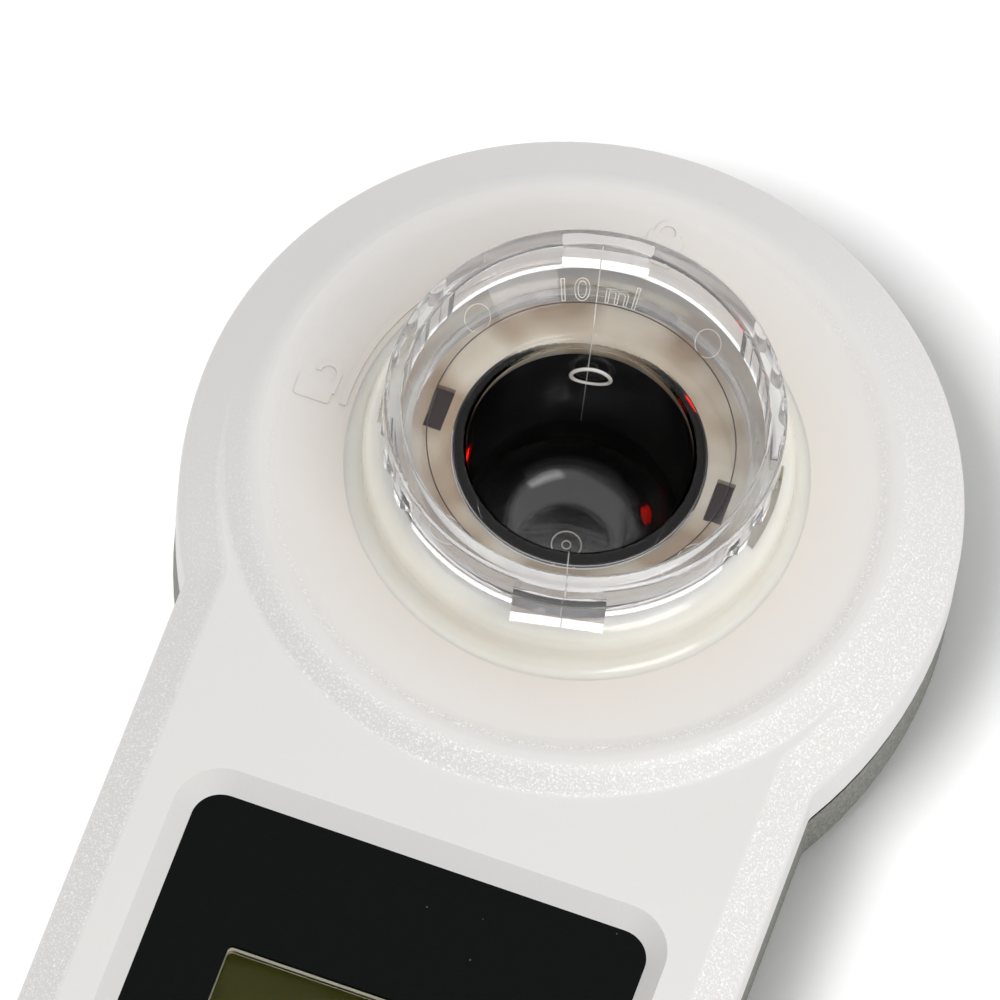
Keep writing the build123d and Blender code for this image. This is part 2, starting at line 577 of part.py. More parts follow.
# ---- power --------------------------------------------------------------------------------
def battery(x, flipped):
    """AAA cell along Y with its positive cap."""
    z = FOOT_H + COVER_T + 0.1 + CELL_D / 2
    body = Cylinder(CELL_D / 2, CELL_L - 1.0) + Pos(0, 0, CELL_L / 2 - 0.5) * Cylinder(1.9, 1.0)
    turn = 90 if flipped else -90
    return Pos(x, CELL_MID_Y, z) * Rot(turn, 0, 0) * body


def battery_contacts():
    """Sprung plates at both ends of the cells."""
    z = FOOT_H + COVER_T + 0.1 + CELL_D / 2
    plates = []
    for i, x in enumerate((-CELL_PITCH, 0, CELL_PITCH)):
        for sy in (1, -1):
            plate = Pos(x, CELL_MID_Y + sy * (TRAY_L / 2 - 0.25), z) * Box(8.6, 0.5, 8.6)
            sprung = (sy > 0) == (i % 2 == 1)
            gap = TRAY_L / 2 - 0.5 - CELL_L / 2 + 0.5 if sprung else TRAY_L / 2 - 0.5 - CELL_L / 2
            nose_r = 2.4 if sprung else 1.4
            nose = Rot(90, 0, 0) * Cylinder(nose_r, gap)
            plate += Pos(x, CELL_MID_Y + sy * (TRAY_L / 2 - 0.5 - gap / 2), z) * nose
            plates.append(plate)
    return Compound(children=plates)


def cover_seal(grow=0.0):
    """Flat rubber ring in the ledge round the battery opening."""
    z = FOOT_H + COVER_T
    high, wide = z + 0.6 + grow, 2 * grow
    outer = block(0, CELL_MID_Y, TRAY_W + 3.0 + wide, TRAY_L + 1.6 + wide, z, high, 1.5)
    return outer - block(0, CELL_MID_Y, TRAY_W + 1.0 - wide, TRAY_L + 0.6 - wide, z, high, 1.0)


def battery_cover():
    cover = block(0, CELL_MID_Y, COVER_W, COVER_L, FOOT_H, FOOT_H + COVER_T, 2.8)
    for sy in (1, -1):
        y = CELL_MID_Y + sy * COVER_SCREW_Y
        cover -= disc(0, y, 1.9, FOOT_H, FOOT_H + 0.8)
        cover -= disc(0, y, 0.95, FOOT_H, FOOT_H + COVER_T)
    for i in range(5):
        cover -= block(0, CELL_MID_Y - 17.0 + 2.4 * i, 14.0, 1.0, FOOT_H, FOOT_H + 0.4)
    return cover


def cover_screws():
    screws = []
    for sy in (1, -1):
        y = CELL_MID_Y + sy * COVER_SCREW_Y
        screw = disc(0, y, 1.85, FOOT_H + 0.1, FOOT_H + 0.8)
        screw += disc(0, y, 0.9, FOOT_H + 0.8, COVER_BOSS_Z - 2.0)
        screw -= block(0, y, 2.6, 0.5, FOOT_H + 0.1, FOOT_H + 0.45)
        screws.append(screw)
    return Compound(children=screws)


# ---- write every piece --------------------------------------------------------------------
PIECES = {
    "top_shell": top_shell(),
    "bottom_shell": bottom_shell(),
    "case_gasket": case_gasket(),
    "case_screws": case_screws(),
    "rubber_feet": rubber_feet(),
    "front_panel": front_panel(),
    "keypad_mat": keypad_mat(),
    "key_switches": key_switches(),
    "cuvette": cuvette(),
    "cuvette_collar": cuvette_collar(),
    "cuvette_seal": cuvette_seal(),
    "light_chamber": light_chamber(),
    "led_source": led_source(),
    "led_board": sensor_board(180),
    "led_ribbon": sensor_ribbon(180),
    "optical_filter": beam_part(0, 16.0, 18.0, FILTER_R),
    "photodiode": photodiode(),
    "detector_board": sensor_board(0),
    "detector_ribbon": sensor_ribbon(0),
    "main_pcb": main_pcb(),
    "microcontroller": chip(-9.0, 2.0, 10.0, 10.0, 1.4, 8),
    "radio_module": chip(10.0, 3.0, 12.0, 9.0, 2.0, 6),
    "ribbon_sockets": ribbon_sockets(),
    "battery_left": battery(-CELL_PITCH, False),
    "battery_middle": battery(0, True),
    "battery_right": battery(CELL_PITCH, False),
    "battery_contacts": battery_contacts(),
    "battery_cover": battery_cover(),
    "battery_cover_seal": cover_seal(),
    "battery_cover_screws": cover_screws(),
}
PIECES.update(display_stack())
PIECES.update({name: key(x, y) for name, (x, y) in KEYS.items()})

for node, shape in PIECES.items():
    save(shape, node)
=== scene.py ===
# %% [markdown]
# # A handheld water-test photometer, finished in Blender
# The CAD model arrives with every size, joint and fit settled. This notebook gives each piece the finish
# it has on the real instrument, adds the fine mouldings that a machinist's model leaves out, and lights
# the result like a catalogue picture. Nothing that the CAD placed is moved.

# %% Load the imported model
import json
from math import atan2, cos, degrees, pi, radians, sin

import bmesh
import bpy
from mathutils import Matrix, Vector


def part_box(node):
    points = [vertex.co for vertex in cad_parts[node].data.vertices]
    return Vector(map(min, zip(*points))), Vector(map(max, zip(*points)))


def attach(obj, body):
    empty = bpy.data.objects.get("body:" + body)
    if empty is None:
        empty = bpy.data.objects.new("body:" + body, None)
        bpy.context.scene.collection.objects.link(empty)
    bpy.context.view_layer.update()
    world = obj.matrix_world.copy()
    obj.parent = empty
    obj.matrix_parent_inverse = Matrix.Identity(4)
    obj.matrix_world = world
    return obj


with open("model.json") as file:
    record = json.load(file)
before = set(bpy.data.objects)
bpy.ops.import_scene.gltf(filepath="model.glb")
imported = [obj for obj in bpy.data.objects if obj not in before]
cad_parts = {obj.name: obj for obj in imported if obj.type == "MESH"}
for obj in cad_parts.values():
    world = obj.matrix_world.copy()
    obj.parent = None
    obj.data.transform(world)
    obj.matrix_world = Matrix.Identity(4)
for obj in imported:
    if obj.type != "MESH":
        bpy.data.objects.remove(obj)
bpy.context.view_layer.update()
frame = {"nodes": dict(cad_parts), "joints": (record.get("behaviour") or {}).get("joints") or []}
NODES = frame["nodes"]
MM = 0.001

# %% [markdown]
# ## Landmarks
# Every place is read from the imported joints: the head axis is the cell's turning joint, and the rim plane
# is the joint's own height, where the white side wall meets its bevel. Heights below are given above it.

# %% Landmarks
turn_joint = next(j for j in frame["joints"] if j["name"] == "cuvette_turn")
AXIS = Vector(turn_joint["pos_m"])
print("head axis at", [round(c * 1000, 1) for c in AXIS])


def on_head(x, y, height):
    """A point given in millimetres from the head axis and the rim plane."""
    return AXIS + Vector((x, y, height)) * MM


# %% [markdown]
# ## The camera
# A long lens, as catalogue photographers use, flattens the perspective. The camera stands 1.68 m away,
# 64 degrees up and a little to the right of the instrument, tilted 7.6 degrees about its own view line.

# %% Camera
VIEW_TARGET = on_head(-7.35, -4.36, 0.0)
VIEW_FROM = on_head(150.67, -725.88, 1507.98)
VIEW_ROLL = radians(7.58)
SENSOR = 36.0
LENS = 539.0
FAR_CLIP = 20.0

cam_data = bpy.data.cameras.new("catalogue_camera")
cam_data.sensor_width = SENSOR
cam_data.lens = LENS
cam_data.clip_end = FAR_CLIP
camera = bpy.data.objects.new("catalogue_camera", cam_data)
bpy.context.scene.collection.objects.link(camera)
aim = (VIEW_TARGET - VIEW_FROM).to_track_quat("-Z", "Y").to_matrix().to_4x4()
camera.matrix_world = Matrix.Translation(VIEW_FROM) @ aim @ Matrix.Rotation(VIEW_ROLL, 4, "Z")
bpy.context.scene.camera = camera
print("camera distance, m:", round((VIEW_TARGET - VIEW_FROM).length, 3))

# %% [markdown]
# ## Colours and one small node tool
# Colours are written as the hex values a colour picker shows, and turned to the linear values the
# renderer works in. One function adds any shader node with its settings and its links. A Mix node keeps a
# socket for every kind of value, so its two colours and its result are picked by number.

# %% Colour and node helpers
MIX_A, MIX_B, MIXED = 6, 7, 2


def srgb(hex_value, alpha=1.0):
    """A hex colour as linear RGBA."""
    channels = [int(hex_value[i:i + 2], 16) / 255 for i in (1, 3, 5)]
    linear = [c / 12.92 if c <= 0.04045 else ((c + 0.055) / 1.055) ** 2.4 for c in channels]
    return (*linear, alpha)


def add(tree, kind, links=None, sockets=None, **settings):
    """Add one node. links maps its inputs to other nodes' outputs, sockets its inputs to fixed values."""
    node = tree.nodes.new(kind)
    for key, value in settings.items():
        setattr(node, key, value)
    for key, value in (sockets or {}).items():
        node.inputs[key].default_value = value
    for key, source in (links or {}).items():
        tree.links.new(source, node.inputs[key])
    return node


def blank(name):
    """A new material with an empty Principled surface, its node tree and its shader."""
    material = bpy.data.materials.new(name)
    material.use_nodes = True
    tree = material.node_tree
    shader = tree.nodes["Principled BSDF"]
    return material, tree, shader


def fineness(millimetres):
    """The noise scale whose features are about this many millimetres across."""
    return 1000.0 / millimetres


def paint(nodes, material):
    """Give a finish to CAD nodes by name."""
    for node in nodes.split():
        obj = NODES[node]
        obj.data.materials.clear()
        obj.data.materials.append(material)
    print(material.name, "on", nodes)


print("mid grey in linear light:", [round(c, 3) for c in srgb("#808080")[:3]])

# %% [markdown]
# ## White shell: injection-moulded ABS
# The flats come from a finely stoned tool and look satin. The bevels come from a spark-eroded part of the
# same tool: its crystals are bumps, with white flecks on them as painted glints, strongest on the near right
# where the light falls. The slope of the surface tells the two apart, so one material serves the whole
# shell.
# The sloped border of the display panel is stoned smooth, so its place is left out of the painted glints.

# %% Where the painted glints are
# How far the surface's normal points up: little on the side walls, nearly 1 on the flats.
OFF_WALLS = {"From Min": 0.40, "From Max": 0.55}
OFF_FLATS = {"From Min": 0.985, "From Max": 0.93}
# Where the panel's border ends: out from the handle's middle, and up towards the head.
BESIDE_PANEL = {"From Min": 30.0 * MM, "From Max": 31.5 * MM}
ABOVE_PANEL = {"From Min": -8.0 * MM, "From Max": -6.5 * MM}
# The painted glints are strongest on the near right, where the light falls. The far side of the head keeps
# hardly any.
GLINT_LIT_SIDE = {"From Min": -70.0 * MM, "From Max": -5.0 * MM}
RIGHT_SHARE = 0.75


def facet_and_painted_glint_mask(tree, place):
    """Where facets and painted glints go: 1 on the bevels, fading on the far side of the head, and 0 on
    flats, walls and the panel border.
    """
    normal = add(tree, "ShaderNodeNewGeometry").outputs["Normal"]
    rise = add(tree, "ShaderNodeSeparateXYZ", {"Vector": normal}).outputs["Z"]
    off_walls = add(tree, "ShaderNodeMapRange", {"Value": rise}, OFF_WALLS)
    off_flats = add(tree, "ShaderNodeMapRange", {"Value": rise}, OFF_FLATS)
    sloped = add(tree, "ShaderNodeMath", {0: off_walls.outputs[0], 1: off_flats.outputs[0]},
                 operation="MULTIPLY")

    spot = add(tree, "ShaderNodeSeparateXYZ", {"Vector": place})
    aside = add(tree, "ShaderNodeMath", {0: spot.outputs["X"]}, operation="ABSOLUTE")
    beside = add(tree, "ShaderNodeMapRange", {"Value": aside.outputs[0]}, BESIDE_PANEL)
    above = add(tree, "ShaderNodeMapRange", {"Value": spot.outputs["Y"]}, ABOVE_PANEL)
    outside = add(tree, "ShaderNodeMath", {0: beside.outputs[0], 1: above.outputs[0]}, operation="MAXIMUM")

    right = add(tree, "ShaderNodeMath", {0: spot.outputs["X"]}, {1: RIGHT_SHARE}, operation="MULTIPLY")
    near = add(tree, "ShaderNodeMath", {0: right.outputs[0], 1: spot.outputs["Y"]}, operation="SUBTRACT")
    lit_side = add(tree, "ShaderNodeMapRange", {"Value": near.outputs[0]}, GLINT_LIT_SIDE)

    bevels = add(tree, "ShaderNodeMath", {0: sloped.outputs[0], 1: outside.outputs[0]}, operation="MULTIPLY")
    mask = add(tree, "ShaderNodeMath", {0: bevels.outputs[0], 1: lit_side.outputs[0]}, operation="MULTIPLY")
    return mask.outputs[0]


print("glitter is left out up to", BESIDE_PANEL["From Max"] / MM, "mm from the handle's middle")

# %% White ABS
# ABS has an IOR of 1.53. The dish is painted a little warmer near the collar, a painted reflection of its
# ivory.
ABS_IOR = 1.53
DISH_PAINTED_REFLECTION = {"From Min": 37.0 * MM, "From Max": 24.0 * MM}
PAINTED_REFLECTION_SHARE = 0.8
CRYSTAL = fineness(0.26)
GLINTS = {"From Min": 0.50, "From Max": 0.75}


def white_abs():
    """Satin white ABS with faceted bevels and painted glints on them."""
    material, tree, shader = blank("moulded_white_abs")
    place = add(tree, "ShaderNodeTexCoord").outputs["Object"]
    mask = facet_and_painted_glint_mask(tree, place)

    flow = add(tree, "ShaderNodeTexNoise", {"Vector": place}, {"Scale": fineness(30.0), "Detail": 2.0})
    tint = add(tree, "ShaderNodeMix", {"Factor": flow.outputs["Fac"]},
               {MIX_A: srgb("#DAD8D6"), MIX_B: srgb("#DDDBD9")}, data_type="RGBA")
    # Painted reflection of the ivory collar: the dish's colour turns warmer towards the axis.
    from_axis = add(tree, "ShaderNodeVectorMath", {0: place}, {1: AXIS}, operation="DISTANCE")
    reflection_reach = add(tree, "ShaderNodeMapRange", {"Value": from_axis.outputs["Value"]}, DISH_PAINTED_REFLECTION)
    share = add(tree, "ShaderNodeMath", {0: reflection_reach.outputs[0]}, {1: PAINTED_REFLECTION_SHARE}, operation="MULTIPLY")
    painted_reflection = add(tree, "ShaderNodeMix", {"Factor": share.outputs[0], MIX_A: tint.outputs[MIXED]},
               {MIX_B: srgb("#DCD4CA")}, data_type="RGBA")

    crystals = add(tree, "ShaderNodeTexNoise", {"Vector": place}, {"Scale": CRYSTAL, "Detail": 3.0})
    # Painted glints: white flecks on the bevels, strongest on the near right where the light falls.
    sparks = add(tree, "ShaderNodeMapRange", {"Value": crystals.outputs["Fac"]}, GLINTS)
    painted_glints = add(tree, "ShaderNodeMath", {0: sparks.outputs[0], 1: mask}, operation="MULTIPLY")
    lit = add(tree, "ShaderNodeMix", {"Factor": painted_glints.outputs[0], MIX_A: painted_reflection.outputs[MIXED]},
              {MIX_B: srgb("#FFFFFF")}, data_type="RGBA")
    tree.links.new(lit.outputs[MIXED], shader.inputs["Base Color"])

    rough = add(tree, "ShaderNodeMapRange", {"Value": mask}, {"To Min": 0.45, "To Max": 0.36})
    tree.links.new(rough.outputs[0], shader.inputs["Roughness"])
    satin = add(tree, "ShaderNodeTexNoise", {"Vector": place}, {"Scale": fineness(0.25), "Detail": 2.0})
    fine = add(tree, "ShaderNodeBump", {"Height": satin.outputs["Fac"]},
               {"Strength": 0.06, "Distance": 0.05 * MM})
    facets = add(tree, "ShaderNodeBump",
                 {"Height": crystals.outputs["Fac"], "Strength": mask, "Normal": fine.outputs[0]},
                 {"Distance": 0.06 * MM})
    tree.links.new(facets.outputs[0], shader.inputs["Normal"])
    shader.inputs["IOR"].default_value = ABS_IOR
    shader.inputs["Subsurface Weight"].default_value = 0.06
    shader.inputs["Subsurface Scale"].default_value = 0.8 * MM
    return material


WHITE_ABS = white_abs()
paint("top_shell", WHITE_ABS)

# %% [markdown]
# ## Dark plastics: ABS from a photo-etched tool
# The back shell is dark grey ABS from a tool etched with a pebbled grain, which hides scratches and gives
# grip. The distances in a Voronoi pattern make the pebbles, and noise added to them makes their tops
# uneven, so that they catch the light. The light chamber is the same plastic in black with a much
# shallower grain, and a chip's epoxy body is moulded in the same way.

# %% Grained ABS
GRAIN_SPREAD = {"From Min": 0.5, "From Max": 1.3}
GRAIN_GLOSS_SPREAD = 0.1


def grained_abs(name, dark, light, grain_mm, depth_mm, rough=0.55):
    """Dark ABS from a photo-etched tool: a pebbled grain whose tops catch a little more light."""
    material, tree, shader = blank(name)
    place = add(tree, "ShaderNodeTexCoord").outputs["Object"]
    grain = add(tree, "ShaderNodeTexVoronoi", {"Vector": place}, {"Scale": fineness(grain_mm)})
    cloud = add(tree, "ShaderNodeTexNoise", {"Vector": place},
                {"Scale": fineness(grain_mm * 0.6), "Detail": 3.0})
    height = add(tree, "ShaderNodeMath", {0: grain.outputs["Distance"], 1: cloud.outputs["Fac"]},
                 operation="ADD")
    spread = add(tree, "ShaderNodeMapRange", {"Value": height.outputs[0]}, GRAIN_SPREAD)
    colour = add(tree, "ShaderNodeMix", {"Factor": spread.outputs[0]},
                 {MIX_A: srgb(dark), MIX_B: srgb(light)}, data_type="RGBA")
    tree.links.new(colour.outputs[MIXED], shader.inputs["Base Color"])
    bump = add(tree, "ShaderNodeBump", {"Height": height.outputs[0]},
               {"Strength": 0.7, "Distance": depth_mm * MM})
    tree.links.new(bump.outputs[0], shader.inputs["Normal"])
    gloss = add(tree, "ShaderNodeMapRange", {"Value": cloud.outputs["Fac"]},
                {"To Min": rough - GRAIN_GLOSS_SPREAD, "To Max": rough + GRAIN_GLOSS_SPREAD})
    tree.links.new(gloss.outputs[0], shader.inputs["Roughness"])
    shader.inputs["IOR"].default_value = ABS_IOR
    return material


GREY_ABS = grained_abs("etched_grey_abs", "#45463F", "#7C7D74", 0.45, 0.06)
BLACK_ABS = grained_abs("satin_black_abs", "#030303", "#0B0B0B", 0.5, 0.02, 0.35)
BLACK_ABS.node_tree.nodes["Principled BSDF"].inputs["Specular IOR Level"].default_value = 0.2
paint("bottom_shell battery_cover", GREY_ABS)
paint("light_chamber", BLACK_ABS)

# %% [markdown]
# ## Collar and display frame: polished plastic
# The cell is turned in its collar with wet hands, so the collar is moulded in a hard, polished, slightly
# translucent ivory resin. It takes a clear highlight and a warm shade at its foot. The frame of the
# display is a plainer cream plastic. Both are a base under a thin clear coat, with faint clouds where the
# melt flowed.

# %% Polished plastics
FLOW_HAZE = 0.05
COAT_ROUGHNESS = 0.06


def polished(name, hex_value, shade, rough=0.12, coat=0.5, cloud_mm=6.0):
    """Glossy moulded plastic with the faint flow clouds and handling haze it has in the hand."""
    material, tree, shader = blank(name)
    place = add(tree, "ShaderNodeTexCoord").outputs["Object"]
    cloud = add(tree, "ShaderNodeTexNoise", {"Vector": place}, {"Scale": fineness(cloud_mm), "Detail": 4.0})
    colour = add(tree, "ShaderNodeMix", {"Factor": cloud.outputs["Fac"]},
                 {MIX_A: srgb(shade), MIX_B: srgb(hex_value)}, data_type="RGBA")
    tree.links.new(colour.outputs[MIXED], shader.inputs["Base Color"])
    gloss = add(tree, "ShaderNodeMapRange", {"Value": cloud.outputs["Fac"]},
                {"To Min": rough, "To Max": rough + FLOW_HAZE})
    tree.links.new(gloss.outputs[0], shader.inputs["Roughness"])
    shader.inputs["Coat Weight"].default_value = coat
    shader.inputs["Coat Roughness"].default_value = COAT_ROUGHNESS
    return material


CREAM = polished("moulded_cream_frame", "#F6F2DC", "#EBE6CC", rough=0.25, coat=0.2)
paint("display_frame", CREAM)

# %% [markdown]
# ## The stained seat
# Light goes some millimetres into the ivory resin before it comes out, red the furthest, which gives the
# collar its soft warm shade. Inside the seat's radius, under the cell, the colour turns a darker tan in
# uneven patches: painted shade and dark reflections of the seat as seen through the cell.

# %% Ivory resin
SEAT_EDGE = {"From Min": 20.6 * MM, "From Max": 19.8 * MM}
SEAT_PATCH_EDGE = {"From Min": 0.38, "From Max": 0.60}


def head_radius(tree):
    """How far each point of the surface is from the head axis, in metres."""
    place = add(tree, "ShaderNodeTexCoord").outputs["Object"]
    flat = add(tree, "ShaderNodeVectorMath", {0: place}, {1: (1, 1, 0)}, operation="MULTIPLY")
    radius = add(tree, "ShaderNodeVectorMath", {0: flat.outputs[0]}, {1: (AXIS.x, AXIS.y, 0)},
                 operation="DISTANCE")
    return radius.outputs["Value"]


def ivory_resin():
    """Translucent ivory resin, with painted shade and dark reflections in tan patches where the cell sits.
    """
    material = polished("polished_ivory_resin", "#F0EBE0", "#E6DFD0")
    tree = material.node_tree
    shader = tree.nodes["Principled BSDF"]
    shader.inputs["Subsurface Weight"].default_value = 0.6
    shader.inputs["Subsurface Radius"].default_value = (1.0, 0.85, 0.65)
    shader.inputs["Subsurface Scale"].default_value = 4.0 * MM
    place = add(tree, "ShaderNodeTexCoord").outputs["Object"]
    # Painted shade and dark reflections: darker tan patches inside the seat's radius.
    patches = add(tree, "ShaderNodeTexNoise", {"Vector": place}, {"Scale": fineness(9.0), "Detail": 1.0})
    dark_patches = add(tree, "ShaderNodeMapRange", {"Value": patches.outputs["Fac"]}, SEAT_PATCH_EDGE)
    tan = add(tree, "ShaderNodeMix", {"Factor": dark_patches.outputs[0]},
              {MIX_A: srgb("#A98D69"), MIX_B: srgb("#E0D2BA")}, data_type="RGBA")
    seat = add(tree, "ShaderNodeMapRange", {"Value": head_radius(tree)}, SEAT_EDGE)
    clean = shader.inputs["Base Color"].links[0].from_socket
    colour = add(tree, "ShaderNodeMix", {"Factor": seat.outputs[0], MIX_A: clean, MIX_B: tan.outputs[MIXED]},
                 data_type="RGBA")
    tree.links.new(colour.outputs[MIXED], shader.inputs["Base Color"])
    return material


paint("cuvette_collar", ivory_resin())

# %% [markdown]
# ## Seals, feet and keys: moulded rubber
# Rubber is matt and bleeds a faint bloom. Nitrile is the blackest and reflects least, so the seam between
# the shells reads as a dark line. The feet are a greyer grade, and the keys are soft grey silicone.

# %% Rubber
def rubber(name, dark, light, rough=0.62, specular=0.3):
    """Moulded rubber: matt, with a faint bloom and a fine tooth."""
    material, tree, shader = blank(name)
    place = add(tree, "ShaderNodeTexCoord").outputs["Object"]
    bloom = add(tree, "ShaderNodeTexNoise", {"Vector": place}, {"Scale": fineness(2.5), "Detail": 4.0})
    tooth = add(tree, "ShaderNodeTexNoise", {"Vector": place}, {"Scale": fineness(0.2), "Detail": 2.0})
    colour = add(tree, "ShaderNodeMix", {"Factor": bloom.outputs["Fac"]},
                 {MIX_A: srgb(dark), MIX_B: srgb(light)}, data_type="RGBA")
    tree.links.new(colour.outputs[MIXED], shader.inputs["Base Color"])
    bump = add(tree, "ShaderNodeBump", {"Height": tooth.outputs["Fac"]},
               {"Strength": 0.25, "Distance": 0.04 * MM})
    tree.links.new(bump.outputs[0], shader.inputs["Normal"])
    shader.inputs["Roughness"].default_value = rough
    shader.inputs["Specular IOR Level"].default_value = specular
    return material


SEAL_RUBBER = rubber("black_nitrile", "#07060F", "#0F0E1A", specular=0.08)
FOOT_RUBBER = rubber("grey_foot_rubber", "#1C1C1D", "#2B2B2C")
KEY_RUBBER = rubber("silicone_key_rubber", "#54565A", "#66686C", rough=0.5)
paint("case_gasket cuvette_seal battery_cover_seal", SEAL_RUBBER)
paint("rubber_feet", FOOT_RUBBER)
paint("keypad_mat key_up key_down key_ok key_power", KEY_RUBBER)

# %% [markdown]
# ## Clear parts
# The sample cell is polished PMMA with hair-fine scratches from being wiped. PMMA's own IOR is 1.49; here
# it is matched down to 1.36, which thins the dark lines in its rim as very soft light does. Handling has
# left the thick rim and skirt a little milky, while the well stays water-clear. The display lens has an
# anti-glare coat, so its IOR is set close to that of air. The detector's filter is red glass, and the lamp
# is red epoxy that glows.

# %% Clear plastics
WIPED = {"From Min": 0.5, "From Max": 0.8}


def clear(name, hex_value, ior, rough=0.02, scratch=0.05):
    """Clear plastic whose roughness rises slightly where it has been wiped."""
    material, tree, shader = blank(name)
    place = add(tree, "ShaderNodeTexCoord").outputs["Object"]
    wipe = add(tree, "ShaderNodeTexNoise", {"Vector": place}, {"Scale": fineness(3.0), "Detail": 6.0})
    gloss = add(tree, "ShaderNodeMapRange", {"Value": wipe.outputs["Fac"]},
                {**WIPED, "To Min": rough, "To Max": rough + scratch})
    tree.links.new(gloss.outputs[0], shader.inputs["Roughness"])
    tint = add(tree, "ShaderNodeMix", {"Factor": wipe.outputs["Fac"]},
               {MIX_A: srgb(hex_value), MIX_B: srgb("#FFFFFF")}, data_type="RGBA")
    tree.links.new(tint.outputs[MIXED], shader.inputs["Base Color"])
    shader.inputs["Transmission Weight"].default_value = 1.0
    shader.inputs["IOR"].default_value = ior
    return material


LENS_PMMA = clear("anti_glare_lens", "#F2F5F0", 1.05, rough=0.03)
FILTER_GLASS = clear("red_filter_glass", "#B0242E", 1.52)
paint("display_lens", LENS_PMMA)
paint("optical_filter", FILTER_GLASS)

# %% The cell's PMMA
# Just outside the cell's step the plastic turns from fully clear to 9 parts in 100 milky.
MILKY_RIM = {"From Min": 17.6 * MM, "From Max": 19.0 * MM, "To Min": 1.0, "To Max": 0.91}


def cell_pmma():
    """Water-clear in the well, a little milky in the rim and skirt."""
    material = clear("polished_pmma", "#F6F6FA", 1.36, rough=0.01, scratch=0.02)
    tree = material.node_tree
    shader = tree.nodes["Principled BSDF"]
    clearness = add(tree, "ShaderNodeMapRange", {"Value": head_radius(tree)}, MILKY_RIM)
    tree.links.new(clearness.outputs[0], shader.inputs["Transmission Weight"])
    return material


paint("cuvette", cell_pmma())

# %% The lamp's epoxy
LAMP_GLOW = 3.0
LAMP_EPOXY = clear("red_lamp_epoxy", "#F03A30", 1.54)
lamp_shader = LAMP_EPOXY.node_tree.nodes["Principled BSDF"]
lamp_shader.inputs["Emission Color"].default_value = srgb("#FF1408")
lamp_shader.inputs["Emission Strength"].default_value = LAMP_GLOW
paint("led_source", LAMP_EPOXY)

# %% [markdown]
# ## Fine mouldings of the sample cell
# A moulded cell carries the marks of its tool: a parting line on both sides, round ejector marks, a mark
# on the wall and the gate mark in the middle of the floor. They are far finer than the CAD needs, so they
# are laid on here as thin beads along paths worked out from the cell's own profile.

# %% The cell's inner profile
# Radius and height above the rim plane, in millimetres, down the inside of the cell.
CUP_R, CUP_TOP, CONE_TOP, STEP_R, STEP_H = 20.4, 20.0, 14.5, 17.2, 12.0
MOUTH_R, MOUTH_H, FLOOR_R, FLOOR_H = 12.8, 10.5, 12.0, -14.7
LINE_END = -7.0
CONE_SLOPE = atan2(CONE_TOP - STEP_H, CUP_R - STEP_R)
PARTING = 103.5


def around(radius, angle, height):
    """A point on the head by radius, angle from +X in degrees, and height."""
    return on_head(radius * cos(radians(angle)), radius * sin(radians(angle)), height)


def on_cone(angle, along, out=0.0):
    """A point on the cell's cone, a distance up its slope from the step, lifted out of the surface."""
    radius = STEP_R + along * cos(CONE_SLOPE) - out * sin(CONE_SLOPE)
    return around(radius, angle, STEP_H + along * sin(CONE_SLOPE) + out * cos(CONE_SLOPE))


print("the cell's cone rises at", round(degrees(CONE_SLOPE), 1), "degrees")


# %% Bead and piece helpers
def circle(steps):
    """Evenly spaced angles once round, in radians."""
    return [2 * pi * k / steps for k in range(steps)]


def moulded(name, mesh, finish, body):
    """Put a new mesh on one of the CAD bodies."""
    piece = bpy.data.objects.new(name, mesh)
    bpy.context.scene.collection.objects.link(piece)
    mesh.materials.append(finish)
    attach(piece, body)
    print(name, "rides on", body, "with", len(mesh.vertices), "vertices")
    return piece


def bead(name, paths, radius, closed=False, sides=8):
    """Fine round beads laid along paths of points, radius in millimetres."""
    shape = bmesh.new()
    for path in paths:
        count = len(path)
        across = (path[1] - path[0]).orthogonal().normalized()
        rings = []
        for i, point in enumerate(path):
            after = path[(i + 1) % count] if closed else path[min(i + 1, count - 1)]
            before = path[i - 1] if closed else path[max(i - 1, 0)]
            along = (after - before).normalized()
            across = (across - along * across.dot(along)).normalized()
            beside = along.cross(across)
            spokes = [across * cos(t) + beside * sin(t) for t in circle(sides)]
            rings.append([shape.verts.new(point + spoke * radius * MM) for spoke in spokes])
        for i in range(count if closed else count - 1):
            low, high = rings[i], rings[(i + 1) % count]
            for k in range(sides):
                shape.faces.new((low[k], low[(k + 1) % sides], high[(k + 1) % sides], high[k]))
        if not closed:
            shape.faces.new(rings[0][::-1])
            shape.faces.new(rings[-1])
    mesh = bpy.data.meshes.new(name)
    shape.to_mesh(mesh)
    shape.free()
    mesh.shade_smooth()
    return mesh


# %% Parting lines
# Raised witness marks are a touch whiter than the plastic round them, because the tool is rougher there.
LINE_T = 0.07
WITNESS = polished("moulding_witness", "#EFEDE6", "#DAD7CE", rough=0.2, coat=0.3, cloud_mm=0.8)
profile = [(CUP_R, CUP_TOP), (CUP_R, CONE_TOP), (STEP_R + 0.2, STEP_H + 0.1), (MOUTH_R + 0.9, MOUTH_H + 0.2),
           (MOUTH_R + 0.1, MOUTH_H - 0.4), (MOUTH_R, MOUTH_H - 1.2), (FLOOR_R + 0.05, LINE_END)]
lines = [[around(r, PARTING + side, h) for r, h in profile] for side in (0, 180)]
moulded("parting_lines", bead("parting_lines", lines, LINE_T), WITNESS, "cuvette")

